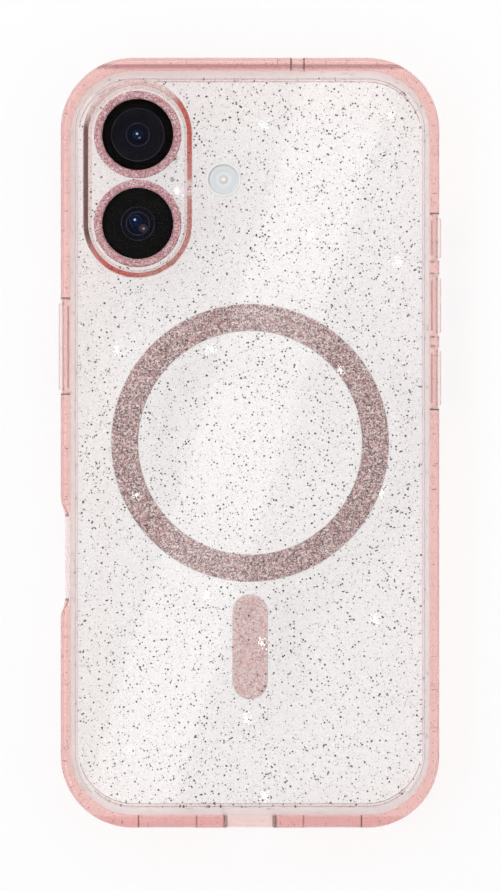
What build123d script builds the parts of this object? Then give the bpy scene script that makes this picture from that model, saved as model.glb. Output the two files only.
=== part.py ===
from build123d import *
import os

os.makedirs("parts", exist_ok=True)

# Phone case, in millimetres. It lies on its front rim with the mouth down: z = 0 is the rim, +Z leaves
# the back, +Y points to the phone's top edge and +X to the edge with the volume buttons. The origin is
# the middle of the footprint.

# The phone that the case holds
phone_width = 71.6
phone_length = 147.6
phone_thickness = 7.8
phone_fit = 0.1             # clearance between the phone and each wall
phone_depth_fit = 0.1       # clearance in the pocket's depth

# Bumper frame
wall_side = 1.9
wall_end = 2.95
corner_radius = 14.4        # outer corner, seen from the back
lip_height = 1.2            # front rim, under the phone's face
lip_overlap = 1.2           # how far the rim reaches over the phone's face
lip_edge_bevel = 0.15
front_edge_round = 0.9
back_edge_round = 1.3
band_side = 2.0             # bumper seen beside the back plate
band_end = 2.6
ledge_thickness = 0.6       # tongue that the back plate's border sits on
bumper_proud = 0.2          # bumper above the plate's face

# Back plate
plate_thickness = 1.9
border_side = 1.45          # sunk border between the bumper and the raised panel
border_end = 1.4
border_sink = 0.3
panel_bevel = 0.25

# Camera island
lens_ring_radius = 8.7
lens_ring_gap = 0.3
lens_ring_overhang = 0.8    # flange beyond its neck
lens_ring_neck_wall = 0.4
lens_ring_lip = 0.4         # rim that holds the glass down
lens_ring_height = 1.3      # flange above the camera plate
lens_ring_round = 0.3
lens_ring_bevel = 0.3
lens_bond = 0.02            # glue line round the glass and what lies under it
glass_thickness = 0.5
glass_cover = 0.45          # ring above the glass
mask_thickness = 0.3
mask_step = 0.12
mask_step_width = 2.0       # outer black land of the mask
mask_window_radius = 3.0
window_edge = 0.1           # thickness at the window's rim
window_dome = 0.12
gasket_width = 0.55
gasket_thickness = 0.8
island_margin = 1.15        # camera plate seen between the rings and the island's wall
island_wall = 1.05
island_height = 2.8         # wall above the back plate's face
island_edge_round = 0.45
island_ledge = 0.65         # shelf under the camera plate
camera_plate_thickness = 1.2
camera_plate_drop = 0.9     # plate's top above the back plate's face
island_gap_side = 1.1       # wall to the raised panel's side edge
island_gap_end = 0.6
mic_hole_radius = 0.5
mic_hole_offset = 6.85      # from the line of the lenses

# Flash window
flash_radius = 3.5
flash_bezel_wall = 0.45
flash_gap = 2.65            # from the island's wall
flash_bezel_proud = 0.15
flash_bezel_round = 0.15
flash_window_thickness = 1.1
flash_window_sink = 0.35
flash_dish_radius = 1.8     # ring-shaped dish round the window's middle
flash_boss_radius = 0.7
flash_dish_depth = 0.12

# Magnet ring and alignment bar, stacked in pockets in the plate's inner face
ring_outer_radius = 27.65
ring_inner_radius = 22.4
magnet_count = 18
magnet_gap = 0.15
magnet_thickness = 0.65
bar_width = 6.9
bar_length = 20.7
bar_gap = 2.7               # from the ring's edge to the bar's end
film_thickness = 0.1
adhesive_thickness = 0.1
backing_thickness = 0.15
magnet_fit = 0.1            # clearance between a pocket's wall and what lies in it

# Buttons: along the edge, with their distance from the phone's top edge
side_button_length = 17.5
side_button_from_top = 54.5
action_button_length = 8.0
action_button_from_top = 32.8
volume_button_length = 11.0
volume_up_from_top = 46.3
volume_down_from_top = 60.8
button_height = 3.2
button_corner = 1.0
button_proud = 0.5
button_round = 0.3
button_travel = 0.35
button_fit = 0.15           # clearance round the cap
button_stop_gap = 0.05      # between the flange and the wall's skin
flange_width = 0.9          # flange beyond the cap, all round
flange_thickness = 0.4
flange_corner = 0.6
pad_thickness = 0.25
pad_inset = 0.5             # pad inside the cap's outline

# Openings in the bumper's wall
control_cut_length = 17.4
control_scoop_length = 22.8
control_scoop_depth = 0.9
control_scoop_round = 5.0
control_cut_height = 5.6
control_cut_corner = 0.6
control_cut_from_top = 96.75
port_width = 11.0
port_height = 6.6
port_corner = 1.6
port_flare = 0.5
slot_length = 12.0
slot_height = 2.0
slot_corner = 0.6
slot_offset = 16.5
mic_slot_length = 3.0
mic_slot_offset = 9.5       # top microphone, from the middle towards the volume edge

# Worked-out sizes
pocket_width = phone_width + 2 * phone_fit
pocket_length = phone_length + 2 * phone_fit
case_width = pocket_width + 2 * wall_side
case_length = pocket_length + 2 * wall_end
pocket_radius = corner_radius - wall_side
pocket_top = lip_height + phone_thickness + phone_depth_fit
pocket_middle = (lip_height + pocket_top) / 2
mouth_width = phone_width - 2 * lip_overlap
mouth_length = phone_length - 2 * lip_overlap
mouth_radius = pocket_radius - phone_fit - lip_overlap

plate_width = case_width - 2 * band_side
plate_length = case_length - 2 * band_end
plate_radius = corner_radius - band_side
panel_width = plate_width - 2 * border_side
panel_length = plate_length - 2 * border_end
panel_radius = plate_radius - border_side
ledge_top = pocket_top + ledge_thickness
plate_top = pocket_top + plate_thickness
border_top = plate_top - border_sink
bumper_top = plate_top + bumper_proud

lens_pitch = 2 * lens_ring_radius + lens_ring_gap
neck_radius = lens_ring_radius - lens_ring_overhang
seat_radius = neck_radius - lens_ring_neck_wall
bore_radius = seat_radius - lens_ring_lip
optic_radius = seat_radius - lens_bond
island_inner_radius = lens_ring_radius + island_margin
island_outer_radius = island_inner_radius + island_wall
lens_x = -panel_width / 2 + island_gap_side + island_outer_radius
upper_lens_y = panel_length / 2 - island_gap_end - island_outer_radius
lower_lens_y = upper_lens_y - lens_pitch
island_y = (upper_lens_y + lower_lens_y) / 2
camera_plate_top = plate_top + camera_plate_drop
camera_plate_bottom = camera_plate_top - camera_plate_thickness
lens_ring_top = camera_plate_top + lens_ring_height
glass_top = lens_ring_top - glass_cover
glass_bottom = glass_top - glass_thickness
mask_bottom = glass_bottom - mask_thickness
island_top = plate_top + island_height
flash_x = lens_x + island_outer_radius + flash_gap + flash_radius
flash_window_radius = flash_radius - flash_bezel_wall

backing_top = pocket_top + backing_thickness
magnet_top = backing_top + magnet_thickness
adhesive_top = magnet_top + adhesive_thickness
film_top = adhesive_top + film_thickness
ring_pocket_outer = ring_outer_radius + magnet_fit
ring_pocket_inner = ring_inner_radius - magnet_fit
bar_y = -ring_outer_radius - bar_gap - bar_length / 2

skin = wall_side - button_travel - pad_thickness - flange_thickness - button_stop_gap
flange_start = skin + button_stop_gap
pad_start = flange_start + flange_thickness
phone_top_y = phone_length / 2
control_cut_y = phone_top_y - control_cut_from_top

buttons = {                 # name: (side of the case, place along the edge, length)
    "side_button": (-1, phone_top_y - side_button_from_top, side_button_length),
    "action_button": (1, phone_top_y - action_button_from_top, action_button_length),
    "volume_up_button": (1, phone_top_y - volume_up_from_top, volume_button_length),
    "volume_down_button": (1, phone_top_y - volume_down_from_top, volume_button_length),
}

from_below = (Align.CENTER, Align.CENTER, Align.MIN)
from_below_edge = (Align.MIN, Align.CENTER, Align.MIN)


def rounded_block(width, length, radius, bottom, top):
    """Upright block with rounded corners, centred on the origin."""
    return Pos(0, 0, bottom) * extrude(RectangleRounded(width, length, radius), amount=top - bottom)


def disc(radius, bottom, top, x=0, y=0):
    """Upright round block."""
    return Pos(x, y, bottom) * extrude(Circle(radius), amount=top - bottom)


def island_block(radius, bottom, top):
    """Upright long-round block round the two lenses."""
    outline = Rot(0, 0, 90) * SlotCenterToCenter(lens_pitch, 2 * radius)
    return Pos(lens_x, island_y, bottom) * extrude(outline, amount=top - bottom)


def bar_block(margin, bottom, top):
    """Upright long-round block at the alignment bar's place, a margin larger all round."""
    outline = Rot(0, 0, 90) * SlotOverall(bar_length + 2 * margin, bar_width + 2 * margin)
    return Pos(0, bar_y, bottom) * extrude(outline, amount=top - bottom)


def side_face(side, y):
    """Plane on a side wall's outer face, pointing into the case; side is -1 or 1."""
    return Plane(origin=(side * case_width / 2, y, pocket_middle), x_dir=(0, 1, 0), z_dir=(-side, 0, 0))


def end_face(end, x):
    """Plane on an end wall's outer face, pointing into the case; end is -1 or 1."""
    return Plane(origin=(x, end * case_length / 2, pocket_middle), x_dir=(1, 0, 0), z_dir=(0, -end, 0))


def slot_block(face, length, height, corner, start, end):
    """Block with rounded corners through a wall, between two depths from its outer face."""
    return extrude(face.offset(start) * RectangleRounded(length, height, corner), amount=end - start)


def edges_at(solid, height):
    """Edges that lie flat at one height."""
    return solid.edges().filter_by_position(Axis.Z, height - 1e-4, height + 1e-4)


def ring(inner_radius, outer_radius, bottom, top):
    """Flat ring round the origin."""
    return disc(outer_radius, bottom, top) - disc(inner_radius, bottom, top)


def bumper_outline():
    """Plan outline of the frame, with the scoop over the camera-control opening."""
    outer_x = -case_width / 2
    scoop = Polygon(
        (outer_x, control_scoop_length / 2),
        (outer_x, -control_scoop_length / 2),
        (outer_x + control_scoop_depth, -control_cut_length / 2),
        (outer_x + control_scoop_depth, control_cut_length / 2),
        align=None,
    )
    outline = RectangleRounded(case_width, case_length, corner_radius) - Pos(0, control_cut_y) * scoop
    corners = [v for v in outline.vertices() if abs(v.Y - control_cut_y) < control_scoop_length / 2 + 1e-3]
    corners = [v for v in corners if v.X < 0]
    return fillet(corners, control_scoop_round)


def bumper_frame():
    """Soft frame: walls, front rim, and the tongue that carries the back plate."""
    body = extrude(bumper_outline(), amount=bumper_top)
    body = fillet(edges_at(body, bumper_top), back_edge_round)
    body = fillet(edges_at(body, 0), front_edge_round)
    body -= rounded_block(mouth_width, mouth_length, mouth_radius, 0, lip_height)
    flare = RectangleRounded(
        mouth_width + 2 * lip_edge_bevel, mouth_length + 2 * lip_edge_bevel, mouth_radius + lip_edge_bevel
    )
    body -= extrude(flare, amount=lip_edge_bevel, taper=45)
    body -= rounded_block(pocket_width, pocket_length, pocket_radius, lip_height, pocket_top)
    body -= rounded_block(panel_width, panel_length, panel_radius, pocket_top, ledge_top)
    body -= rounded_block(plate_width, plate_length, plate_radius, ledge_top, bumper_top)
    for side, y, length in buttons.values():
        body -= button_way(side, y, length)
    control_cut = (control_cut_length, control_cut_height, control_cut_corner)
    body -= slot_block(side_face(-1, control_cut_y), *control_cut, 0, wall_side)
    return body - end_openings()


def button_way(side, y, length):
    """Slot for a button's cap, and the wider recess behind it for the cap's flange."""
    face = side_face(side, y)
    around = 2 * button_fit
    slot = slot_block(face, length + around, button_height + around, button_corner + button_fit, 0, skin)
    around = 2 * (flange_width + button_fit)
    recess = (length + around, button_height + around, flange_corner + button_fit)
    return slot + slot_block(face, *recess, skin, wall_side)


def end_openings():
    """Charge port with a flared mouth, two sound slots beside it, and the top microphone's slot."""
    bottom = end_face(-1, 0)
    mouth = RectangleRounded(port_width + 2 * port_flare, port_height + 2 * port_flare, port_corner + port_flare)
    openings = slot_block(bottom, port_width, port_height, port_corner, 0, wall_end)
    openings += extrude(bottom * mouth, amount=port_flare, taper=45)
    for side in (-1, 1):
        face = end_face(-1, side * slot_offset)
        openings += slot_block(face, slot_length, slot_height, slot_corner, 0, wall_end)
    top = end_face(1, mic_slot_offset)
    return openings + slot_block(top, mic_slot_length, slot_height, slot_corner, 0, wall_end)


def back_plate():
    """Clear plate: raised panel, sunk border, camera and flash openings, and magnet pockets inside."""
    panel = rounded_block(panel_width, panel_length, panel_radius, pocket_top, plate_top)
    panel = chamfer(edges_at(panel, plate_top), panel_bevel)
    body = panel + rounded_block(plate_width, plate_length, plate_radius, ledge_top, border_top)
    body -= island_block(island_outer_radius, pocket_top, plate_top)
    body -= disc(flash_radius, pocket_top, plate_top, flash_x, island_y)
    body -= ring(ring_pocket_inner, ring_pocket_outer, pocket_top, film_top)
    return body - bar_block(magnet_fit, pocket_top, film_top)


def camera_frame():
    """Raised wall round the camera island, with a shelf for the camera plate."""
    body = island_block(island_outer_radius, pocket_top, island_top)
    body -= island_block(island_inner_radius - island_ledge, pocket_top, camera_plate_bottom)
    body -= island_block(island_inner_radius, camera_plate_bottom, island_top)
    return fillet(edges_at(body, island_top), island_edge_round)


def camera_plate():
    """Clear plate inside the island, with two lens holes and a microphone hole."""
    body = island_block(island_inner_radius, camera_plate_bottom, camera_plate_top)
    for y in (upper_lens_y, lower_lens_y):
        body -= disc(neck_radius, camera_plate_bottom, camera_plate_top, lens_x, y)
    mic_x = lens_x + mic_hole_offset
    return body - disc(mic_hole_radius, camera_plate_bottom, camera_plate_top, mic_x, island_y)


def lens_ring(y):
    """Flanged ring that seats a cover glass over one lens."""
    flange = disc(lens_ring_radius, camera_plate_top, lens_ring_top, lens_x, y)
    flange = fillet(edges_at(flange, lens_ring_top), lens_ring_round)
    body = flange + disc(neck_radius, camera_plate_bottom, camera_plate_top, lens_x, y)
    body -= disc(seat_radius, camera_plate_bottom, glass_top, lens_x, y)
    body -= disc(bore_radius, glass_top, lens_ring_top, lens_x, y)
    bevel = Cone(bore_radius, bore_radius + lens_ring_bevel, lens_ring_bevel, align=from_below)
    return body - Pos(lens_x, y, lens_ring_top - lens_ring_bevel) * bevel


def lens_glass(y):
    """Cover glass, held under the ring's rim."""
    return disc(optic_radius, glass_bottom, glass_top, lens_x, y)


def lens_mask(y):
    """Black stepped border under the glass."""
    body = disc(optic_radius, mask_bottom, glass_bottom, lens_x, y)
    body -= disc(optic_radius - mask_step_width, glass_bottom - mask_step, glass_bottom, lens_x, y)
    return body - disc(mask_window_radius, mask_bottom, glass_bottom, lens_x, y)


def lens_window(y):
    """Low-domed tinted window in the mask's middle."""
    peak = mask_bottom + window_edge + window_dome
    ball_radius = (mask_window_radius**2 + window_dome**2) / (2 * window_dome)
    ball = Pos(lens_x, y, peak - ball_radius) * Sphere(ball_radius)
    return disc(mask_window_radius, mask_bottom, peak, lens_x, y) & ball


def lens_gasket(y):
    """Foam adhesive ring that holds the glass and mask in the ring."""
    bottom = mask_bottom - gasket_thickness
    body = disc(optic_radius, bottom, mask_bottom, lens_x, y)
    return body - disc(optic_radius - gasket_width, bottom, mask_bottom, lens_x, y)


def flash_bezel():
    """White collar that keeps the flash's light out of the clear plate."""
    top = plate_top + flash_bezel_proud
    body = disc(flash_radius, pocket_top, top, flash_x, island_y)
    body = fillet(edges_at(body, top), flash_bezel_round)
    return body - disc(flash_window_radius, pocket_top, top, flash_x, island_y)


def flash_window():
    """Diffusing window over the flash, with a ring-shaped dish."""
    top = plate_top - flash_window_sink
    body = disc(flash_window_radius, top - flash_window_thickness, top, flash_x, island_y)
    dish = disc(flash_dish_radius, top - flash_dish_depth, top, flash_x, island_y)
    return body - (dish - disc(flash_boss_radius, top - flash_dish_depth, top, flash_x, island_y))


def ring_magnets():
    """Arc magnets in a circle, alternating round the ring with a thin gap between them."""
    body = ring(ring_inner_radius, ring_outer_radius, backing_top, magnet_top)
    gap = Box(2 * ring_outer_radius, magnet_gap, magnet_thickness, align=from_below_edge)
    for i in range(magnet_count):
        body -= Rot(0, 0, i * 360 / magnet_count) * Pos(0, 0, backing_top) * gap
    return body


def button_cap(side, y, length):
    """Hard cap that stands out of the wall, with the flange that keeps it in."""
    face = side_face(side, y)
    cap = slot_block(face, length, button_height, button_corner, -button_proud, flange_start)
    front = cap.faces().sort_by(Axis.X)[0 if side < 0 else -1]
    cap = fillet(front.edges(), button_round)
    around = 2 * flange_width
    flange = (length + around, button_height + around, flange_corner)
    return cap + slot_block(face, *flange, flange_start, pad_start)


def button_pad(side, y, length):
    """Soft pad on the flange's inner face, which presses the phone's own key."""
    size = (length - 2 * pad_inset, button_height - 2 * pad_inset, button_corner - pad_inset)
    return slot_block(side_face(side, y), *size, pad_start, pad_start + pad_thickness)


pieces = {
    "bumper_frame": bumper_frame(),
    "back_plate": back_plate(),
    "camera_frame": camera_frame(),
    "camera_plate": camera_plate(),
    "flash_bezel": flash_bezel(),
    "flash_window": flash_window(),
    "ring_film": ring(ring_inner_radius, ring_outer_radius, adhesive_top, film_top),
    "ring_adhesive": ring(ring_inner_radius, ring_outer_radius, magnet_top, adhesive_top),
    "ring_magnets": ring_magnets(),
    "ring_backing": ring(ring_pocket_inner, ring_pocket_outer, pocket_top, backing_top),
    "bar_film": bar_block(0, adhesive_top, film_top),
    "bar_adhesive": bar_block(0, magnet_top, adhesive_top),
    "bar_magnet": bar_block(0, backing_top, magnet_top),
    "bar_backing": bar_block(magnet_fit, pocket_top, backing_top),
}
for place, lens_y in (("upper", upper_lens_y), ("lower", lower_lens_y)):
    for make in (lens_ring, lens_glass, lens_mask, lens_window, lens_gasket):
        pieces[f"{make.__name__}_{place}"] = make(lens_y)
for name, place in buttons.items():
    pieces[f"{name}_cap"] = button_cap(*place)
    pieces[f"{name}_pad"] = button_pad(*place)

for name, piece in pieces.items():
    export_step(piece, f"parts/{name}.step")
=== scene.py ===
"""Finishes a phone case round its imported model: soft pink bumper, clear glittered plates, glitter films,
lens covers, flash window and buttons. Everything is in metres, in the case's own frame: it lies face down,
its back looks up and its top edge points to +Y."""

from math import cos, pi, radians, sin, sqrt
from random import Random

import bmesh
import bpy
from bpy.props import FloatProperty, FloatVectorProperty, IntProperty, PointerProperty
from mathutils import Euler, Matrix, Vector
from mathutils.bvhtree import BVHTree


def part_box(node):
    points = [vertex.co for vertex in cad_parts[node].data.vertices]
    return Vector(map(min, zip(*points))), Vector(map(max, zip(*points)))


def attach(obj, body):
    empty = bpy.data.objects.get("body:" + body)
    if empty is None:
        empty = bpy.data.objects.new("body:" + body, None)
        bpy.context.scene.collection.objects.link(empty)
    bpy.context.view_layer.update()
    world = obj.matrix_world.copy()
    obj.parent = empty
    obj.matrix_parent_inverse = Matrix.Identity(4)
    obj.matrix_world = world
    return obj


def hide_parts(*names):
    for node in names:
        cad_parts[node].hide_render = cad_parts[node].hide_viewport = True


bl_info = {
    "name": "Glitter Phone Case",
    "version": (1, 0, 0),
    "blender": (4, 5, 0),
    "location": "View3D > Sidebar > Phone Case",
    "description": "Builds the finish of a glittered phone case piece by piece",
    "category": "Add Mesh",
}

MM = 0.001
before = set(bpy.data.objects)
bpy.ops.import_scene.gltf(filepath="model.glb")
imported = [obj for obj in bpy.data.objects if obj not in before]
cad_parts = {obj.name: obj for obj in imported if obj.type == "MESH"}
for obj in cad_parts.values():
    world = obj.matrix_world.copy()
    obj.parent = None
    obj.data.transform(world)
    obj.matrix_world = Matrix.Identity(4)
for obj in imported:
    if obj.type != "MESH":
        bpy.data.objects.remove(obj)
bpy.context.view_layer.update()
BODY = "case"
BUTTONS = ("side_button", "action_button", "volume_up_button", "volume_down_button")
BORDER = 1.45 * MM  # width of the sunk border round the back's raised panel
PANEL_CORNER = 10.95 * MM  # corner radius of the raised panel
WELD = 0.0002 * MM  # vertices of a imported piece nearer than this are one
SPUN_WELD = 0.0005 * MM  # the same for a turned shape
BOND_GAP = 0.012 * MM  # hair's breadth between clear faces that would otherwise coincide


# ---------------------------------------------------------------------------------------------- user settings


class CaseSizes(bpy.types.PropertyGroup):
    """Sizes that a user would change."""

    plate_flakes: IntProperty(
        name="Plate flakes", description="Glitter flakes in the clear plates", default=12000, min=0
    )
    plate_specks: IntProperty(
        name="Plate specks", description="Finest flakes in the clear plates", default=12000, min=0
    )
    bumper_flakes: IntProperty(
        name="Bumper flakes", description="Glitter flakes in the soft bumper", default=8000, min=0
    )
    flake_small: FloatProperty(
        name="Smallest flake", description="Radius of the smallest flake", default=0.06 * MM, unit="LENGTH"
    )
    flake_large: FloatProperty(
        name="Largest flake", description="Radius of the largest flake", default=0.25 * MM, unit="LENGTH"
    )
    print_flake: FloatProperty(
        name="Print flake", description="Radius of a flake in dense glitter", default=0.16 * MM, unit="LENGTH"
    )
    flake_thickness: FloatProperty(
        name="Flake thickness", description="Thickness of one flake", default=0.012 * MM, unit="LENGTH"
    )
    view_height: FloatProperty(
        name="View height", description="Height that the camera takes in", default=178.2 * MM, unit="LENGTH"
    )


def colour(name, description, default):
    """A colour setting."""
    return FloatVectorProperty(
        name=name, description=description, default=default, subtype="COLOR", min=0, max=1
    )


class CaseColours(bpy.types.PropertyGroup):
    """Colours that a user would change."""

    bumper: colour("Bumper", "Skin of the soft bumper", (1.0, 0.968, 0.963))
    bumper_passes: colour("Bumper depth", "Light that the bumper lets through", (0.86, 0.20, 0.13))
    rose_dark: colour("Dark rose", "Darkest flakes of the dense glitter", (0.17, 0.08, 0.08))
    rose: colour("Rose", "Middle flakes of the dense glitter", (0.65, 0.335, 0.33))
    rose_pale: colour("Pale rose", "Palest flakes of the dense glitter", (1.0, 0.80, 0.78))
    blush: colour("Blush", "Middle flakes of the paler glitter", (1.0, 0.80, 0.79))
    flash: colour("Flash window", "Frosted window over the flash", (0.74, 0.78, 0.81))


def sizes():
    return bpy.context.scene.phone_case_sizes


def colours():
    return bpy.context.scene.phone_case_colours


# -------------------------------------------------------------------------------------------------- materials


class Socket:
    """A shader socket whose arithmetic adds Math nodes."""

    def __init__(self, finish, socket):
        self.finish = finish
        self.socket = socket

    def math(self, operation, first, second=0.0):
        return self.finish.node("ShaderNodeMath", {"operation": operation}, {0: first, 1: second})

    def __add__(self, other):
        return self.math("ADD", self, other)

    def __sub__(self, other):
        return self.math("SUBTRACT", self, other)

    def __rsub__(self, other):
        return self.math("SUBTRACT", other, self)

    def __mul__(self, other):
        return self.math("MULTIPLY", self, other)

    def __pow__(self, other):
        return self.math("POWER", self, other)

    def __gt__(self, other):
        return self.math("GREATER_THAN", self, other)

    def __lt__(self, other):
        return self.math("LESS_THAN", self, other)

    def __or__(self, other):
        return self.math("MAXIMUM", self, other)

    __radd__ = __add__
    __rmul__ = __mul__


class Finish:
    """A material under construction."""

    def __init__(self, name):
        self.material = bpy.data.materials.new(name)
        self.material.use_nodes = True
        self.tree = self.material.node_tree
        self.tree.nodes.clear()

    def node(self, kind, settings=None, inputs=None, output=0):
        """Adds a node: its settings first, then the values or links of its sockets. Gives one output."""
        made = self.tree.nodes.new(kind)
        for key, value in (settings or {}).items():
            if key == "stops":
                set_stops(made.color_ramp, value)
            else:
                setattr(made, key, value)
        for key, value in (inputs or {}).items():
            if isinstance(value, Socket):
                self.tree.links.new(value.socket, made.inputs[key])
            else:
                made.inputs[key].default_value = value
        return Socket(self, made.outputs[output])

    def place(self):
        """The point being shaded, in the case's frame."""
        return self.node("ShaderNodeTexCoord", output="Object")

    def part(self, vector, axis):
        """One of a vector's parts: X, Y or Z."""
        return self.node("ShaderNodeSeparateXYZ", inputs={0: vector}, output=axis)

    def vector(self, operation, first, second=(0, 0, 0), output=0):
        return self.node("ShaderNodeVectorMath", {"operation": operation}, {0: first, 1: second}, output)

    def blend(self, factor, first, second):
        """The first colour where the factor is 0, the second where it is 1."""
        return self.node("ShaderNodeMix", {"data_type": "RGBA"}, {0: factor, 6: first, 7: second}, output=2)

    def noise(self, scale, detail=2.0):
        inputs = {"Vector": self.place(), "Scale": scale, "Detail": detail}
        return self.node("ShaderNodeTexNoise", inputs=inputs)

    def cells(self, scale, output="Color"):
        """Random cells: one value or colour for each."""
        inputs = {"Vector": self.place(), "Scale": scale}
        return self.node("ShaderNodeTexVoronoi", inputs=inputs, output=output)

    def grey(self, source):
        """One number between 0 and 1 from a random colour."""
        return self.node("ShaderNodeSeparateColor", inputs={"Color": source})

    def ramp(self, factor, *stops):
        """Colours along a factor."""
        return self.node("ShaderNodeValToRGB", {"stops": stops}, {"Fac": factor})

    def bump(self, height, strength, distance):
        inputs = {"Height": height, "Strength": strength, "Distance": distance}
        return self.node("ShaderNodeBump", inputs=inputs)

    def principled(self, **inputs):
        """The main shader; the keywords name its sockets."""
        named = {name.replace("_", " "): value for name, value in inputs.items()}
        return self.node("ShaderNodeBsdfPrincipled", inputs=named)

    def lets_lamps_through(self, shader, tint=(1, 1, 1, 1)):
        """The shader, with lamps shining through it."""
        clear = self.node("ShaderNodeBsdfTransparent", inputs={"Color": tint})
        shadow = self.node("ShaderNodeLightPath", output="Is Shadow Ray")
        return self.node("ShaderNodeMixShader", inputs={"Fac": shadow, 1: shader, 2: clear})

    def done(self, shader, volume=None):
        made = self.tree.nodes.new("ShaderNodeOutputMaterial")
        self.tree.links.new(shader.socket, made.inputs["Surface"])
        if volume:
            self.tree.links.new(volume.socket, made.inputs["Volume"])
        return self.material


def set_stops(ramp, stops):
    """Sets a ramp's stops, each a place and a colour."""
    while len(ramp.elements) < len(stops):
        ramp.elements.new(1.0)
    for element, (place, shade) in zip(ramp.elements, stops):
        element.position = place
        element.color = (*shade, 1)


def soft_plastic(name, density, roughness, painted_refraction_colour=None):
    """Slightly milky soft plastic that turns pink with depth, with a faintly uneven moulded skin. A colour
    function given to it paints refraction onto the skin.
    """
    finish = Finish(name)
    skin = finish.bump(finish.noise(900), 0.06, 0.05 * MM)
    shader = finish.principled(
        Base_Color=painted_refraction_colour(finish) if painted_refraction_colour else (*colours().bumper, 1),
        Roughness=roughness, IOR=1.49, Transmission_Weight=0.92, Normal=skin,
    )
    shader = finish.lets_lamps_through(shader, (0.96, 0.78, 0.75, 1))
    inputs = {"Color": (*colours().bumper_passes, 1), "Density": density}
    return finish.done(shader, finish.node("ShaderNodeVolumeAbsorption", inputs=inputs))


def bumper_painted_refraction(finish):
    """The bumper's skin with painted refraction: a mauve line along the top edge and a deeper tone along the
    bottom edge stand for light bent through the clear plastic.
    """
    low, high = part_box("bumper_frame")
    across, along, up = [finish.part(finish.place(), axis) for axis in "XYZ"]
    # The mauve line and the deeper bottom tone are painted refraction, not the bumper's own colour.
    plain, painted_mauve_line, painted_deep_tone = colours().bumper, (0.42, 0.30, 0.35), (0.86, 0.62, 0.63)
    per_band = 1 / (3 * MM)  # both tones lie in the outermost 3 mm
    port_half, top_band = 5.3 * MM, 1.0 * MM
    top = finish.ramp(
        (high.y - along) * per_band,
        (0.0, plain), (0.43, plain), (0.49, painted_mauve_line), (0.66, painted_mauve_line), (0.76, (0.72, 0.55, 0.56)), (0.86, plain),
    )
    bottom = finish.ramp((along - low.y) * per_band, (0.0, painted_deep_tone), (0.72, painted_deep_tone), (0.86, plain))
    over_port = across.math("ABSOLUTE", across) < port_half
    bottom = finish.blend(over_port, bottom, (*plain, 1))
    on_top = up > high.z - top_band
    return finish.blend(on_top, (*plain, 1), finish.blend(along > 0.0, bottom, top))


def island_spot(finish):
    """Sockets of the point's place across, along and above the camera island's middle."""
    centre = middle("camera_frame")
    spot = finish.vector("SUBTRACT", finish.place(), (centre.x, centre.y, 0))
    return [finish.part(spot, axis) for axis in "XYZ"]


def wall_painted_refraction(finish):
    """The island wall's painted refraction and shade, not its own tint: a stripe along its top, dark on the
    outer side, red and rose round the lower end and the inner side, and clear at the upper end."""
    dark, red, rose = (0.05, 0.020, 0.018), (0.46, 0.035, 0.025), (0.46, 0.12, 0.10)
    clear, plain = (0.90, 0.76, 0.74), (1.0, 0.93, 0.92, 1)
    inset, half_width, depth = 0.60 * MM, 0.47 * MM, 1.2 * MM
    x, y, z = island_spot(finish)
    turn = y.math("ARCTAN2", y, x) * (0.5 / pi) + 0.5
    # Each stretch of this stripe is painted refraction and shade, not the wall's own colour.
    painted_stripe = finish.ramp(
        turn, (0.0, dark), (0.139, dark), (0.165, rose), (0.19, red), (0.23, red), (0.27, rose), (0.44, rose),
        (0.46, clear), (0.485, clear), (0.50, rose), (0.60, red), (0.67, red), (0.70, clear), (0.84, clear),
        (0.875, dark), (1.0, dark),
    )
    low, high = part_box("camera_frame")
    radius = (high.x - low.x) / 2
    straight = (high.y - low.y) / 2 - radius
    past_straight = (y.math("ABSOLUTE", y) - straight) | 0.0
    reach = (x * x + past_straight * past_straight) ** 0.5
    from_line = x.math("ABSOLUTE", reach - (radius - inset))
    painted_stripe_mask = (from_line < half_width) * (z > high.z - depth)
    return finish.blend(painted_stripe_mask, plain, painted_stripe)


def border_reach(finish):
    """How far the point lies outside the raised panel's rounded outline, and whether that is at an end."""
    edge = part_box("back_plate")[1]
    past = []
    for axis, limit in (("X", edge.x - BORDER), ("Y", edge.y - BORDER)):
        place = finish.part(finish.place(), axis)
        past.append((place.math("ABSOLUTE", place) - (limit - PANEL_CORNER)) | 0.0)
    x, y = past
    return (x * x + y * y) ** 0.5 - PANEL_CORNER, y > x


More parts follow.
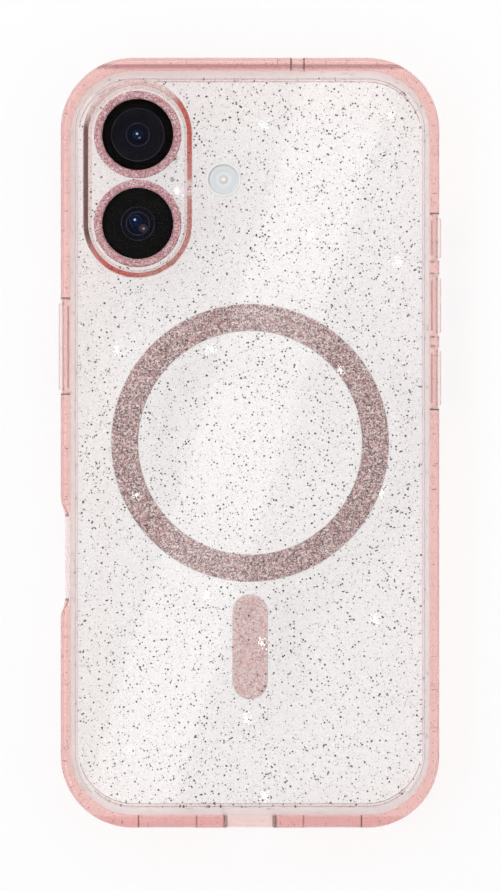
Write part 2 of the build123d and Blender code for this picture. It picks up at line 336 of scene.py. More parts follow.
def clear_plastic():
    """Hard clear plastic with a trace of haze, hairline wear in its gloss and a slightly frosted border, on
    which a grey line along the sides and a rose line at the ends are painted refraction.
    """
    finish = Finish("clear_plastic_finish")
    wear = finish.noise(400, 4.0)
    roughness = 0.01 + 0.03 * wear
    grain = finish.grey(finish.cells(3800))
    haze = finish.ramp(
        grain, (0.0, (0.88, 0.85, 0.845)), (0.5, (0.94, 0.915, 0.91)), (1.0, (0.99, 0.975, 0.97))
    )
    reach, at_ends = border_reach(finish)
    out = reach * (1 / BORDER)
    pale, grey, rose = (1, 0.98, 0.98), (0.58, 0.55, 0.56), (0.36, 0.20, 0.20)
    border_start, end_line_start, line_lead, frost_share = 0.02 * MM, -0.34 * MM, 0.24, 0.26
    # The grey side line and the rose end line are painted refraction in the border.
    painted_side_refraction = finish.ramp(out, (0.0, pale), (0.26, pale), (0.31, grey), (0.38, grey), (0.44, pale))
    painted_end_refraction = finish.ramp(
        out + line_lead, (0.0, rose), (0.20, rose), (0.28, pale), (1.0, (1, 0.95, 0.95))
    )
    frost = finish.principled(Base_Color=finish.blend(at_ends, painted_side_refraction, painted_end_refraction), Roughness=0.4)
    clear = finish.principled(Base_Color=haze, Roughness=roughness, IOR=1.46, Transmission_Weight=0.94)
    frosted = ((reach > border_start) | (reach > end_line_start) * at_ends) * frost_share
    shader = finish.node("ShaderNodeMixShader", inputs={"Fac": frosted, 1: clear, 2: frost})
    return finish.done(finish.lets_lamps_through(shader, (0.96, 0.95, 0.95, 1)))


def cover_glass():
    """Thin coated cover glass that mirrors little."""
    finish = Finish("cover_glass_finish")
    shader = finish.principled(Base_Color=(1, 1, 1, 1), Roughness=0.01, IOR=1.05, Transmission_Weight=1.0)
    return finish.done(finish.lets_lamps_through(shader))


def flake_metal(name, shade, roughness=0.3, metallic=1.0):
    """One tone of glitter flake."""
    finish = Finish(name)
    cloud = finish.grey(finish.noise(3000))
    varied = finish.ramp(cloud, (0.35, [c * 0.75 for c in shade]), (0.65, shade))
    return finish.done(finish.principled(Base_Color=varied, Roughness=roughness, Metallic=metallic))


def dense_glitter(name, dark, main, pale, scale=3300):
    """Packed glitter: each cell has its own tone and its own tilt."""
    finish = Finish(name)
    cell = finish.cells(scale)
    tone = finish.grey(cell)
    shade = finish.ramp(
        tone, (0.0, dark), (0.22, dark), (0.34, main), (0.60, main), (0.76, pale), (1.0, (1, 0.97, 0.96)),
    )
    tilt = finish.bump(tone, 0.5, 0.05 * MM)
    shader = finish.principled(Base_Color=shade, Metallic=0.55, Roughness=0.32, Normal=tilt, Coat_Weight=0.4)
    return finish.done(shader)


def plain_finish(name, shade, roughness, metallic=0.0, grain=600, contrast=0.06, **extra):
    """Opaque finish with a slight cloudiness in its colour and a fine grain."""
    finish = Finish(name)
    cloud = finish.grey(finish.noise(grain, 3.0))
    varied = finish.ramp(cloud, (0.3, [c * (1 - contrast) for c in shade]), (0.7, shade))
    grainy = finish.bump(finish.noise(grain * 6), 0.08, 0.02 * MM)
    shader = finish.principled(
        Base_Color=varied, Roughness=roughness + 0.08 * cloud, Metallic=metallic, Normal=grainy, **extra
    )
    return finish.done(shader)


def coated_glass_and_painted_glint(name, shade, roughness):
    """Dark optical glass whose coating gives its reflections a colour, fading towards grazing angles; also
    serves for the painted glints and glare on the lenses.
    """
    finish = Finish(name)
    facing = finish.node("ShaderNodeLayerWeight", inputs={"Blend": 0.35}, output="Facing")
    coat = finish.ramp(
        facing, (0.0, shade), (0.3, [c * 0.7 for c in shade]), (1.0, [c * 0.3 for c in shade])
    )
    return finish.done(finish.principled(Base_Color=coat, Roughness=roughness, Metallic=1.0))


# ---------------------------------------------------------------------------------------------- mesh building


def middle(node):
    """Middle of a CAD node's box."""
    low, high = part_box(node)
    return (low + high) / 2


def dress(node, material):
    """Gives a CAD node its finish."""
    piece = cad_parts[node]
    piece.data.materials.clear()
    piece.data.materials.append(material)


def new_piece(name, mesh, materials, body=BODY, replaces=()):
    """Makes a mesh a piece of the case."""
    piece = bpy.data.objects.new(name, mesh)
    bpy.context.scene.collection.objects.link(piece)
    for material in materials:
        mesh.materials.append(material)
    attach(piece, body)
    if replaces:
        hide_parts(*replaces)
    return piece


def merged(node):
    """A CAD node's shape as one closed skin."""
    skin = bmesh.new()
    skin.from_mesh(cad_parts[node].data)
    bmesh.ops.remove_doubles(skin, verts=skin.verts, dist=WELD)
    skin.normal_update()
    return skin


def skin_mesh(skin, name, sharp=32):
    """A bmesh as a mesh that shades smoothly except over sharp edges."""
    mesh = bpy.data.meshes.new(name)
    skin.to_mesh(mesh)
    skin.free()
    custom = mesh.attributes.get("custom_normal")
    if custom:
        mesh.attributes.remove(custom)
    mesh.shade_smooth()
    mesh.set_sharp_from_angle(angle=radians(sharp))
    return mesh


def bonded_copy(name, node, material, body=BODY):
    """Stands for a CAD node, drawn in by a hair so that clear faces never coincide."""
    skin = merged(node)
    moves = {vert: vert.normal * vert.calc_shell_factor() * BOND_GAP for vert in skin.verts}
    for vert, move in moves.items():
        vert.co -= move
    return new_piece(name, skin_mesh(skin, name), [material], body, replaces=[node])


def spun(profile, centre, segments=96):
    """A closed profile of (radius, height) points turned round an upright axis."""
    skin = bmesh.new()
    verts = [skin.verts.new((centre.x + radius, centre.y, height)) for radius, height in profile]
    edges = [skin.edges.new(pair) for pair in zip(verts, verts[1:] + verts[:1])]
    bmesh.ops.spin(
        skin, geom=verts + edges, cent=(centre.x, centre.y, 0), axis=(0, 0, 1), angle=2 * pi, steps=segments,
        use_merge=True,
    )
    bmesh.ops.remove_doubles(skin, verts=skin.verts, dist=SPUN_WELD)
    bmesh.ops.recalc_face_normals(skin, faces=skin.faces)
    return skin


class Inside:
    """Tells whether a point is well inside a CAD node."""

    def __init__(self, *nodes):
        self.trees = []
        for node in nodes:
            skin = merged(node)
            self.trees.append(BVHTree.FromBMesh(skin))
            skin.free()

    def depth(self, point):
        """Distance below the nearest skin; negative outside."""
        best = -1.0
        for tree in self.trees:
            place, normal, _, distance = tree.find_nearest(point)
            below = distance if (place - point).dot(normal) > 0 else -distance
            best = max(best, below)
        return best


def random_point(random, low, high):
    """A random point in a box."""
    return Vector([random.uniform(low[i], high[i]) for i in range(3)])


def flake(random, place, radius, tilt):
    """Place, radius, orientation and tone of one flake; tilt is the most that it leans."""
    lean = Euler((random.uniform(-tilt, tilt), random.uniform(-tilt, tilt), random.uniform(0, pi)))
    return (Matrix.Translation(place) @ lean.to_matrix().to_4x4(), radius, random.random())


def flake_mesh(name, flakes, shares):
    """One mesh of thin flakes with four to six sides. The shares say how many take each material."""
    total = sum(shares)
    limits = [sum(shares[: i + 1]) / total for i in range(len(shares))]
    whole = bmesh.new()
    batch_size = 60
    for start in range(0, len(flakes), batch_size):
        batch = bmesh.new()
        for matrix, radius, draw in flakes[start : start + batch_size]:
            sides = 4 + int(draw * 997) % 3
            made = bmesh.ops.create_cone(
                batch, cap_ends=True, segments=sides, radius1=radius, radius2=radius,
                depth=sizes().flake_thickness, matrix=matrix,
            )
            tone = next(i for i, limit in enumerate(limits) if draw <= limit)
            for face in {face for vert in made["verts"] for face in vert.link_faces}:
                face.material_index = tone
        part = bpy.data.meshes.new(name + "_part")
        batch.to_mesh(part)
        batch.free()
        whole.from_mesh(part, face_normals=False)
        bpy.data.meshes.remove(part)
    mesh = bpy.data.meshes.new(name)
    whole.to_mesh(mesh)
    whole.free()
    return mesh


# -------------------------------------------------------------------------------------------------- operators


class PHONECASE_OT_stage(bpy.types.Operator):
    """Camera, plain pale floor and soft light"""

    bl_idname = "phone_case.stage"
    bl_label = "Stage"

    lens, sensor, clip_end = 200, 36, 10  # millimetres, millimetres and metres
    aim = (0.1 * MM, -0.55 * MM, 8 * MM)  # point of the case that the camera looks at
    floor_half, floor_drop = 3, 0.1 * MM  # half the floor's side, and its gap under the case
    lit, glow, bounce = 0.24, 0.77, 0.8  # floor: grey and glow where it is looked at, grey elsewhere
    room, seen_room = 0.55, 1.0  # white surroundings as a light, and as they are looked at
    lamps = (  # name, place, turn in degrees, width, length, power in watts
        ("left_strip", (-0.50, 0, 0.62), (0, -38.9, 0), 0.18, 1.1, 2.0),
        ("top_strip", (0, 0.58, 0.58), (-45, 0, 0), 0.9, 0.15, 1.5),
        ("right_fill", (0.70, -0.20, 0.45), (0, 57, 0), 0.2, 0.6, 0.5),
        ("sheen_strip", (-0.0058, -0.0024, 1.10), (0, 0, -17), 0.036, 0.36, 0.040),
    )

    def execute(self, context):
        scene = context.scene
        scene.view_settings.view_transform = "Standard"
        self.add_camera(scene)
        self.add_floor(scene)
        self.add_room(scene)
        for lamp in self.lamps:
            self.add_lamp(scene, *lamp)
        return {"FINISHED"}

    def add_camera(self, scene):
        camera = bpy.data.cameras.new("camera")
        camera.lens = self.lens
        camera.sensor_width = self.sensor
        camera.clip_end = self.clip_end
        holder = bpy.data.objects.new("camera", camera)
        scene.collection.objects.link(holder)
        x, y, z = self.aim
        holder.location = (x, y, z + sizes().view_height * camera.lens / camera.sensor_width)
        scene.camera = holder

    def add_floor(self, scene):
        skin = bmesh.new()
        bmesh.ops.create_grid(skin, x_segments=1, y_segments=1, size=self.floor_half)
        bmesh.ops.translate(skin, verts=skin.verts, vec=(0, 0, -self.floor_drop))
        mesh = bpy.data.meshes.new("floor")
        skin.to_mesh(mesh)
        skin.free()
        floor = bpy.data.objects.new("floor", mesh)
        scene.collection.objects.link(floor)
        mesh.materials.append(self.floor_finish())

    def floor_finish(self):
        """White where it is looked at, also through and by way of glass; it still takes shadows."""
        finish = Finish("floor_finish")
        path = [
            finish.node("ShaderNodeLightPath", output=output)
            for output in ("Is Camera Ray", "Is Glossy Ray", "Is Transmission Ray")
        ]
        seen = path[0] | path[1] | path[2]
        lit, bounce = [
            finish.node("ShaderNodeBsdfDiffuse", inputs={"Color": (share, share, share, 1)})
            for share in (self.lit, self.bounce)
        ]
        glow = finish.node("ShaderNodeEmission", inputs={"Color": (1, 1, 1, 1), "Strength": self.glow})
        shown = finish.node("ShaderNodeAddShader", inputs={0: lit, 1: glow})
        return finish.done(finish.node("ShaderNodeMixShader", inputs={"Fac": seen, 1: bounce, 2: shown}))

    def add_room(self, scene):
        """White surroundings: bright where they are looked at, softer as a light."""
        world = bpy.data.worlds.new("soft_room")
        world.use_nodes = True
        tree = world.node_tree
        background = tree.nodes["Background"]
        path = tree.nodes.new("ShaderNodeLightPath")
        level = tree.nodes.new("ShaderNodeMapRange")
        level.inputs["To Min"].default_value = self.room
        level.inputs["To Max"].default_value = self.seen_room
        tree.links.new(path.outputs["Is Camera Ray"], level.inputs["Value"])
        tree.links.new(level.outputs["Result"], background.inputs["Strength"])
        background.inputs["Color"].default_value = (1, 1, 1, 1)
        scene.world = world

    def add_lamp(self, scene, name, place, turn, width, length, power):
        lamp = bpy.data.lights.new(name, "AREA")
        lamp.shape = "RECTANGLE"
        lamp.size = width
        lamp.size_y = length
        lamp.energy = power
        holder = bpy.data.objects.new(name, lamp)
        holder.location = place
        holder.rotation_euler = [radians(angle) for angle in turn]
        scene.collection.objects.link(holder)


class PHONECASE_OT_bumper(bpy.types.Operator):
    """Soft pink bumper and the raised wall round the camera island"""

    bl_idname = "phone_case.bumper"
    bl_label = "Bumper"

    def execute(self, context):
        # Both skins carry painted refraction: lines and stretches of colour that stand for light bent through
        # the clear plastic.
        dress("bumper_frame", soft_plastic("pink_bumper_finish", 56, 0.07, bumper_painted_refraction))
        dress("camera_frame", soft_plastic("island_wall_finish", 40, 0.05, wall_painted_refraction))
        return {"FINISHED"}


class PHONECASE_OT_clear_plates(bpy.types.Operator):
    """Clear back plate and the clear plate inside the camera island"""

    bl_idname = "phone_case.clear_plates"
    bl_label = "Clear plates"

    def execute(self, context):
        clear = clear_plastic()
        bonded_copy("clear_back", "back_plate", clear)
        bonded_copy("clear_island_plate", "camera_plate", clear)
        return {"FINISHED"}


class PHONECASE_OT_plate_glitter(bpy.types.Operator):
    """Glitter flakes set in the clear plates"""

    bl_idname = "phone_case.plate_glitter"
    bl_label = "Plate glitter"

    skin_margin = 0.03 * MM
    small_bias = 2.2  # the higher, the more flakes are small
    lean = 0.6  # the most that a flake leans, in radians

    def execute(self, context):
        tones = [
            flake_metal("flake_charcoal", (0.020, 0.016, 0.016), 0.5, 0.3),
            flake_metal("flake_umber", (0.085, 0.05, 0.045), 0.45, 0.5),
            flake_metal("flake_dusty_rose", (0.42, 0.27, 0.26), 0.35),
            flake_metal("flake_grey", (0.30, 0.28, 0.28), 0.35),
            flake_metal("flake_silver", (0.97, 0.96, 0.95), 0.4, 0.3),
        ]
        random = Random(11)
        small, large = sizes().flake_small, sizes().flake_large
        for name, count, span, shares in (
            ("plate_flakes", sizes().plate_flakes, (small, large), (50, 24, 10, 10, 6)),
            ("plate_specks", sizes().plate_specks, (0.7 * small, 1.7 * small), (30, 22, 14, 16, 18)),
        ):
            flakes = self.scatter(random, ("back_plate", "camera_plate"), count, span)
            new_piece(name, flake_mesh(name, flakes, shares), tones)
        return {"FINISHED"}

    def scatter(self, random, nodes, count, span):
        """Flakes well inside the plates, most of them near the small end of the span."""
        inside = Inside(*nodes)
        low = Vector([min(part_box(node)[0][i] for node in nodes) for i in range(3)])
        high = Vector([max(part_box(node)[1][i] for node in nodes) for i in range(3)])
        flakes = []
        while len(flakes) < count:
            place = random_point(random, low, high)
            radius = span[0] + (span[1] - span[0]) * random.random() ** self.small_bias
            if inside.depth(place) > radius + self.skin_margin:
                flakes.append(flake(random, place, radius, self.lean))
        return flakes


class PHONECASE_OT_sparkles(bpy.types.Operator):
    """Larger mirror-bright flakes in the clear plates, turned to catch the light"""

    bl_idname = "phone_case.sparkles"
    bl_label = "Sparkles"

    places = (  # in millimetres, from the case's middle
        (-22.6, -10.4), (18.0, 14.5), (26.4, -9.9), (-24.0, -61.5), (25.0, -35.5), (28.0, 65.5), (12.0, 41.5),
        (-8.6, -30.6), (2.6, 63.4), (-26.5, 18.5), (3.0, -70.5), (2.4, -40.1), (-7.7, 18.6), (-0.6, -54.9),
        (29.5, 36.0), (-14.9, 56.6), (-14.6, 50.0),
    )
    island_edge = (-12, 41)  # in millimetres; places beyond it lie on the island's plate
    depth = 0.45 * MM  # below the plate's top
    large_radius = 0.31 * MM  # of the flake in the middle
    fine_count, fine_spread = 42, 0.55  # fine flakes round it, and their spread in millimetres
    fine_margin = 0.14 * MM  # under the plate's skin
    lean = radians(-13)

    def execute(self, context):
        bright = [
            flake_metal("sparkle_bright", (1.0, 0.99, 0.98), 0.06),
            flake_metal("sparkle_soft", (1, 0.96, 0.95), 0.2),
        ]
        random = Random(71)
        inside = Inside("back_plate", "camera_plate")
        flakes = []
        for x, y in self.places:
            on_island = x < self.island_edge[0] and y > self.island_edge[1]
            plate_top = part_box("camera_plate" if on_island else "back_plate")[1].z
            place = Vector((x * MM, y * MM, plate_top - self.depth))
            flakes.append(self.turned(random, place, self.large_radius, 0.25))
            for _ in range(self.fine_count):
                across, along = random.gauss(0, self.fine_spread), random.gauss(0, self.fine_spread)
                spot = place + Vector((across, along, random.uniform(-0.25, 0.2))) * MM
                if inside.depth(spot) > self.fine_margin:
                    flakes.append(self.turned(random, spot, random.uniform(0.05, 0.12) * MM, 0.75))
        new_piece("sparkles", flake_mesh("sparkles", flakes, (50, 50)), bright)
        return {"FINISHED"}

    def turned(self, random, spot, radius, tone):
        """A flake that leans to the left, towards the light; a low tone is mostly mirror-bright."""
        matrix, radius, draw = flake(random, Vector(), radius, 0.03)
        lean = Matrix.Rotation(self.lean, 4, "Y")
        return (Matrix.Translation(spot) @ lean @ matrix, radius, tone * 0.6 + draw * 0.3)


class PHONECASE_OT_bumper_glitter(bpy.types.Operator):
    """Glitter flakes set in the soft bumper and in the island's wall"""

    bl_idname = "phone_case.bumper_glitter"
    bl_label = "Bumper glitter"

    wall_share = 0.2  # of the tries, in the island's wall
    skin_margin = 0.04 * MM
    lean = 1.4  # the most that a flake leans, in radians

    def execute(self, context):
        tones = [
            flake_metal("bumper_flake_brown", (0.16, 0.06, 0.06), 0.4, 0.7),
            flake_metal("bumper_flake_rose", (0.75, 0.45, 0.42), 0.3),
            flake_metal("bumper_flake_bright", (0.95, 0.88, 0.86), 0.15),
        ]
        random = Random(23)
        low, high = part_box("bumper_frame")
        wall_low, wall_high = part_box("camera_frame")
        inside = Inside("bumper_frame", "camera_frame")
        flakes = []
        while len(flakes) < sizes().bumper_flakes:
            in_wall = random.random() < self.wall_share
            ends = (wall_low, wall_high) if in_wall else (low, high)
            place = random_point(random, *ends)
            radius = sizes().flake_small * random.uniform(0.7, 1.9)
            if inside.depth(place) > radius + self.skin_margin:
                flakes.append(flake(random, place, radius, self.lean))
        mesh = flake_mesh("bumper_flakes", flakes, (46, 26, 28))
        new_piece("bumper_flakes", mesh, tones)
        return {"FINISHED"}


def print_tones(name, dark, main, pale):
    """Tones of a dense glitter."""
    return [
        flake_metal(name + "_flake_dark", dark, 0.4, 0.7),
        flake_metal(name + "_flake_main", main, 0.3, 0.7),
        flake_metal(name + "_flake_pale", pale, 0.3, 0.35),
        flake_metal(name + "_flake_bright", (1.0, 0.97, 0.96), 0.2, 0.25),
    ]


class PHONECASE_OT_magnet_stack(bpy.types.Operator):
    """Glitter films, adhesive, magnets and backing of the magnet ring and the alignment bar"""

    bl_idname = "phone_case.magnet_stack"
    bl_label = "Magnet stack"

    sunk = 0.06 * MM  # how far a film's face is sunk to make room for its flakes
    cover = 0.75  # flakes' area over the film's
    flake_depth = 0.032 * MM  # of the flakes' middles, below the film's packed face
    lean = 0.085  # the most that a flake leans, in radians

    def execute(self, context):
        look = colours()
        random = Random(37)
        for name, dark, main, pale in (
            ("ring", look.rose_dark, look.rose, look.rose_pale),
            ("bar", [c * 1.35 for c in look.rose], look.blush, look.rose_pale),
        ):
            self.film(f"{name}_film", dense_glitter(name + "_print_finish", dark, main, pale))
            self.flakes(f"{name}_print", f"{name}_film", print_tones(name, dark, main, pale), random)
        adhesive = plain_finish("adhesive_finish", (0.86, 0.84, 0.78), 0.5)
        backing = plain_finish("backing_finish", (0.88, 0.86, 0.85), 0.35, grain=300)
        nickel = plain_finish("nickel_finish", (0.70, 0.69, 0.67), 0.18, metallic=1.0, grain=900)
        for name in ("ring", "bar"):
            dress(f"{name}_adhesive", adhesive)
            dress(f"{name}_backing", backing)
        dress("ring_magnets", nickel)
        dress("bar_magnet", nickel)
        return {"FINISHED"}

    def film(self, node, material):
        """The film, its face sunk a hair to make room for the flakes printed on it."""
        skin = merged(node)
        low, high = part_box(node)
        for vert in skin.verts:
            if vert.co.z > (low.z + high.z) / 2:
                vert.co.z -= self.sunk
        name = f"{node}_base"
        new_piece(name, skin_mesh(skin, name), [material], replaces=[node])

    def flakes(self, name, node, tones, random):
        """Flakes laid flat over the film's face."""
        low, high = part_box(node)
        inside = Inside(node)
        area = sum(face.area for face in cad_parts[node].data.polygons) / 2
        radius = sizes().print_flake
        count = int(area / (pi * radius**2) * self.cover)
        flakes = []
        while len(flakes) < count:
            place = random_point(random, low, high)
            place.z = low.z + 0.05 * MM
            if inside.depth(place) > 0.045 * MM and self.clear_of_edge(inside, place, radius):
                place.z = high.z - self.flake_depth
                flakes.append(flake(random, place, radius * random.uniform(0.75, 1.1), self.lean))
        new_piece(name, flake_mesh(name, flakes, (30, 34, 24, 12)), tones)

    def clear_of_edge(self, inside, place, radius):
        """Whether the flake stays on the film."""
        steps = [Vector(step) * radius for step in ((1, 0, 0), (-1, 0, 0), (0, 1, 0), (0, -1, 0))]
        return all(inside.depth(place + step) > 0 for step in steps)


class PHONECASE_OT_lens_rings(bpy.types.Operator):
    """Glittered rings round the two lenses"""

    bl_idname = "phone_case.lens_rings"
    bl_label = "Lens rings"

    flake_count = 1900  # on each ring
    band = (0.66, 0.985)  # squares of the flakes' nearest and farthest reach, over the ring's radius
    lean = 0.16  # the most that a flake leans, in radians

    def execute(self, context):
        shades = ((0.38, 0.16, 0.18), (0.68, 0.31, 0.34), (0.90, 0.58, 0.61))
        packed = dense_glitter("lens_ring_finish", *shades, scale=4800)
        tones = print_tones("lens_ring", *shades)
        random = Random(53)
        for place in ("upper", "lower"):
            node = f"lens_ring_{place}"
            dress(node, packed)
            flakes = self.on_top(random, node)
            name = f"lens_ring_flakes_{place}"
            new_piece(name, flake_mesh(name, flakes, (22, 42, 30, 6)), tones)
        return {"FINISHED"}

    def on_top(self, random, node):
        """Flakes laid on the ring's upward faces."""
        low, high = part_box(node)
        centre = (low + high) / 2
        skin = merged(node)
        tree = BVHTree.FromBMesh(skin)
        skin.free()
        outer = (high.x - low.x) / 2
        flakes = []
        while len(flakes) < self.flake_count:
            turn, reach = random.uniform(0, 2 * pi), outer * sqrt(random.uniform(*self.band))
            above = Vector((centre.x + reach * cos(turn), centre.y + reach * sin(turn), high.z + MM))
            place, normal, _, _ = tree.ray_cast(above, (0, 0, -1))
            if place and normal.z > 0.5 and place.z > centre.z:
                on_face = normal.to_track_quat("Z", "Y").to_matrix().to_4x4()
                radius = sizes().print_flake * random.uniform(0.5, 0.8)
                matrix, radius, tone = flake(random, Vector(), radius, self.lean)
                flakes.append((Matrix.Translation(place) @ on_face @ matrix, radius, tone))
        return flakes


class PHONECASE_OT_lens_optics(bpy.types.Operator):
    """Cover glass, black stepped border, dark window and gasket of each lens cover, with painted glints and
    glare
    """

    bl_idname = "phone_case.lens_optics"
    bl_label = "Lens optics"

    hole_offset = 6.85 * MM  # of the microphone hole, from the island's middle
    hole_radius = 0.47 * MM
    overlap = 0.04 * MM  # of a mask and its window
    ridge = 2.3 * MM  # radius of the ridge on a window

    def execute(self, context):
        cover = cover_glass()
        foam = plain_finish("foam_finish", (0.02, 0.02, 0.02), 0.85, contrast=0.3)
        black = dict(roughness=0.55, contrast=0.3, Specular_IOR_Level=0.03)
        land = plain_finish("black_land_finish", (0.0022, 0.0016, 0.0014), **black)
        navy = plain_finish("navy_floor_finish", (0.0060, 0.0058, 0.0085), **black)
        coal = plain_finish("coal_floor_finish", (0.0050, 0.0046, 0.0044), **black)
        rim = plain_finish("ring_step_finish", (0.024, 0.026, 0.036), **black)
        blue = coated_glass_and_painted_glint("blue_coat_finish", (0.009, 0.018, 0.050), 0.18)
        violet = coated_glass_and_painted_glint("violet_coat_finish", (0.0085, 0.0085, 0.015), 0.3)
        # Sky, blush and haze are colours for painted glints and glare, not coatings.
        painted_highlight = coated_glass_and_painted_glint("painted_highlight_finish", (0.72, 0.84, 1.0), 0.2)
        blush = coated_glass_and_painted_glint("painted_pink_glare_finish", (0.30, 0.22, 0.24), 0.3)
        haze = coated_glass_and_painted_glint("painted_haze_glare_finish", (0.040, 0.032, 0.042), 0.35)
        for place in ("upper", "lower"):
            dress(f"lens_glass_{place}", cover)
            dress(f"lens_gasket_{place}", foam)
        self.mask("upper", 5.35 * MM, 5.15 * MM, [land, navy, rim])
        self.mask("lower", 3.45 * MM, 3.25 * MM, [coal, navy, rim])
        self.window("upper", [violet, rim])
        self.window("lower", [violet, rim])
        # The glints, the second glint and the second dome are painted highlights and glare; the domes are
        # coated caps lit by the lamps, the lower one set off-centre where its glare lies.
        for place, name, spot, radius, base, height, material in (  # lengths in millimetres
            ("upper", "dome", (0, 0), 1.05, 0.085, 0.12, blue),
            ("upper", "glint", (-0.14, 0.18), 0.20, 0.20, 0.02, painted_highlight),
            ("upper", "second_glint", (0.30, -0.55), 0.24, 0.17, 0.02, blush),
            ("lower", "dome", (-0.45, 0.55), 1.25, 0.085, 0.12, blue),
            ("lower", "glint", (-0.58, 0.76), 0.22, 0.20, 0.02, painted_highlight),
            ("lower", "second_dome", (1.10, -0.95), 0.85, 0.085, 0.07, haze),
            ("lower", "second_glint", (1.16, -1.0), 0.27, 0.155, 0.03, blush),
        ):
            low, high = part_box(f"lens_window_{place}")
            centre = (low + high) / 2 + Vector((*spot, 0)) * MM
            level = low.z + base * MM
            self.cap(f"optic_{name}_{place}", centre, radius * MM, level, height * MM, material)
        self.mesh()
        return {"FINISHED"}

    def mesh(self):
        """Fine grey mesh at the bottom of the microphone hole."""
        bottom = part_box("camera_plate")[0].z
        island = middle("camera_frame")
        skin = bmesh.new()
        place = Matrix.Translation((island.x + self.hole_offset, island.y, bottom + 0.15 * MM))
        bmesh.ops.create_cone(
            skin, cap_ends=True, segments=32, radius1=self.hole_radius, radius2=self.hole_radius,
            depth=0.2 * MM, matrix=place,
        )
        bmesh.ops.bevel(
            skin, geom=skin.edges[:], offset=0.03 * MM, affect="EDGES", segments=2, profile=0.5, material=-1,
            clamp_overlap=True,
        )
        finish = Finish("mesh_finish")
        cells = finish.cells(9000, "Distance")
        weave = finish.ramp(cells, (0.0, (0.30, 0.29, 0.30)), (0.6, (0.72, 0.70, 0.70)))
        steel = finish.done(finish.principled(Base_Color=weave, Roughness=0.5, Metallic=0.3))
        new_piece("microphone_mesh", skin_mesh(skin, "microphone_mesh"), [steel])

    def mask(self, place, land, floor_edge, materials):
        """Black land and, inside it, a lower floor that starts with a fine step."""
        node = f"lens_mask_{place}"
        low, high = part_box(node)
        outer = (high.x - low.x) / 2
        window_low, window_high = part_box(f"lens_window_{place}")
        inner = (window_high.x - window_low.x) / 2 - self.overlap
        top, bottom = high.z - 0.02 * MM, low.z
        floor = bottom + 0.14 * MM
        profile = [
            (outer, bottom), (outer, top - 0.05 * MM), (outer - 0.05 * MM, top), (land, top),
            (land - 0.03 * MM, floor + 0.06 * MM), (floor_edge, floor + 0.05 * MM),
            (floor_edge - 0.04 * MM, floor), (inner, floor), (inner, bottom),
        ]
        skin = spun(profile, (low + high) / 2)
        for face in skin.faces:
            reach = (face.calc_center_median() - (low + high) / 2).xy.length
            face.material_index = 0 if reach > land - 0.02 * MM else 2 if reach > floor_edge else 1
        name = f"stepped_mask_{place}"
        new_piece(name, skin_mesh(skin, name, 20), materials, replaces=[node])

    def window(self, place, materials):
        """Dark window with a fine ridge."""
        node = f"lens_window_{place}"
        low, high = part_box(node)
        centre = (low + high) / 2
        outer = (high.x - low.x) / 2
        bottom, face_level = low.z, low.z + 0.08 * MM
        ridge = self.ridge
        profile = [
            (outer, bottom), (outer, face_level), (ridge + 0.12 * MM, face_level),
            (ridge + 0.06 * MM, face_level + 0.03 * MM), (ridge - 0.06 * MM, face_level + 0.03 * MM),
            (ridge - 0.12 * MM, face_level), (0, face_level + 0.01 * MM), (0, bottom),
        ]
        skin = spun(profile, centre)
        for face in skin.faces:
            reach = (face.calc_center_median() - centre).xy.length
            face.material_index = 1 if abs(reach - ridge) < 0.14 * MM else 0
        name = f"optic_{place}"
        new_piece(name, skin_mesh(skin, name, 20), materials, replaces=[node])

    def cap(self, name, spot, radius, level, height, material):
        """A low lens-shaped cap."""
        turns = [radians(a) for a in (0, 15, 30, 45, 60, 75)]
        profile = [(radius * cos(a), level + height * sin(a)) for a in turns]
        profile += [(0, level + height), (0, level - 0.03 * MM), (radius, level - 0.03 * MM)]
        new_piece(name, skin_mesh(spun(profile, spot, 48), name, 40), [material])


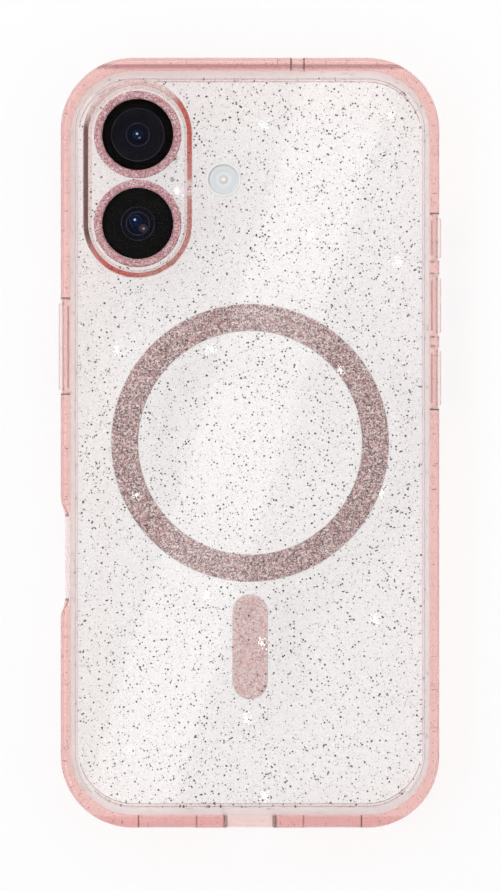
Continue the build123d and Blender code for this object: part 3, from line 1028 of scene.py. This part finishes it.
class PHONECASE_OT_flash(bpy.types.Operator):
    """White collar and frosted window of the flash, with the pale diffuser rings in the window"""

    bl_idname = "phone_case.flash"
    bl_label = "Flash window"

    def execute(self, context):
        dress("flash_bezel", plain_finish("collar_finish", (0.96, 0.955, 0.95), 0.35, Coat_Weight=0.5))
        frosted = self.frosted()
        node = "flash_window"
        low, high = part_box(node)
        outer = (high.x - low.x) / 2
        top, bottom = high.z, low.z
        dish, boss = 1.8 * MM, 0.62 * MM
        profile = [
            (outer, bottom), (outer, top - 0.06 * MM), (outer - 0.06 * MM, top), (dish + 0.25 * MM, top),
            (dish, top - 0.05 * MM), (dish - 0.25 * MM, top - 0.12 * MM), (boss + 0.25 * MM, top - 0.12 * MM),
            (boss, top - 0.07 * MM), (boss - 0.12 * MM, top - 0.01 * MM), (0.2 * MM, top), (0, top),
            (0, bottom),
        ]
        mesh = skin_mesh(spun(profile, (low + high) / 2), "flash_lens", 50)
        new_piece("flash_lens", mesh, [frosted], replaces=[node])
        return {"FINISHED"}

    def frosted(self):
        """Pale blue-grey frosting in rings, warm at the middle, where a near-white spot is a painted
        highlight.
        """
        finish = Finish("frosted_finish")
        spot = finish.vector("SUBTRACT", finish.place(), middle("flash_window"))
        flat = finish.vector("MULTIPLY", spot, (1, 1, 0))
        reach = finish.vector("LENGTH", flat, output="Value")
        window_radius = 3.1 * MM
        pale, cool, warm, glow = (0.86, 0.88, 0.89), colours().flash, (0.70, 0.68, 0.64), (1.0, 0.98, 0.93)
        # The near-white glow at the very middle is a painted highlight.
        shade = finish.ramp(
            reach * (1 / window_radius),
            (0.0, glow), (0.09, glow), (0.17, warm), (0.27, warm), (0.36, pale), (0.50, (0.79, 0.82, 0.84)),
            (0.60, cool), (0.78, cool), (0.86, pale), (0.93, (0.80, 0.83, 0.85)), (1.0, pale),
        )
        cloud = finish.bump(finish.noise(1500), 0.15, 0.05 * MM)
        return finish.done(finish.principled(Base_Color=shade, Roughness=0.25, Coat_Weight=0.5, Normal=cloud))


class PHONECASE_OT_buttons(bpy.types.Operator):
    """Clear pink button caps and their soft pads"""

    bl_idname = "phone_case.buttons"
    bl_label = "Buttons"

    def execute(self, context):
        cap = soft_plastic("button_cap_finish", 25, 0.03)
        pad = plain_finish("button_pad_finish", (0.74, 0.44, 0.43), 0.5)
        for name in BUTTONS:
            dress(f"{name}_cap", cap)
            bonded_copy(f"{name}_soft_pad", f"{name}_pad", pad, body=name)
        return {"FINISHED"}


OPERATORS = (
    PHONECASE_OT_stage,
    PHONECASE_OT_bumper,
    PHONECASE_OT_clear_plates,
    PHONECASE_OT_plate_glitter,
    PHONECASE_OT_sparkles,
    PHONECASE_OT_bumper_glitter,
    PHONECASE_OT_magnet_stack,
    PHONECASE_OT_lens_rings,
    PHONECASE_OT_lens_optics,
    PHONECASE_OT_flash,
    PHONECASE_OT_buttons,
)


class PHONECASE_PT_pieces(bpy.types.Panel):
    """The case's pieces and settings"""

    bl_idname = "PHONECASE_PT_pieces"
    bl_label = "Phone Case"
    bl_space_type = "VIEW_3D"
    bl_region_type = "UI"
    bl_category = "Phone Case"

    def draw(self, context):
        for settings in (context.scene.phone_case_sizes, context.scene.phone_case_colours):
            for name in settings.__annotations__:
                self.layout.prop(settings, name)
        for operator in OPERATORS:
            self.layout.operator(operator.bl_idname)


CLASSES = (CaseSizes, CaseColours, *OPERATORS, PHONECASE_PT_pieces)


def register():
    for item in CLASSES:
        bpy.utils.register_class(item)
    bpy.types.Scene.phone_case_sizes = PointerProperty(type=CaseSizes)
    bpy.types.Scene.phone_case_colours = PointerProperty(type=CaseColours)


def unregister():
    del bpy.types.Scene.phone_case_colours
    del bpy.types.Scene.phone_case_sizes
    for item in reversed(CLASSES):
        bpy.utils.unregister_class(item)


def main():
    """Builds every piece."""
    register()
    for operator in OPERATORS:
        group, name = operator.bl_idname.split(".")
        getattr(getattr(bpy.ops, group), name)()
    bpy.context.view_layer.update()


if __name__ == "__main__":
    main()
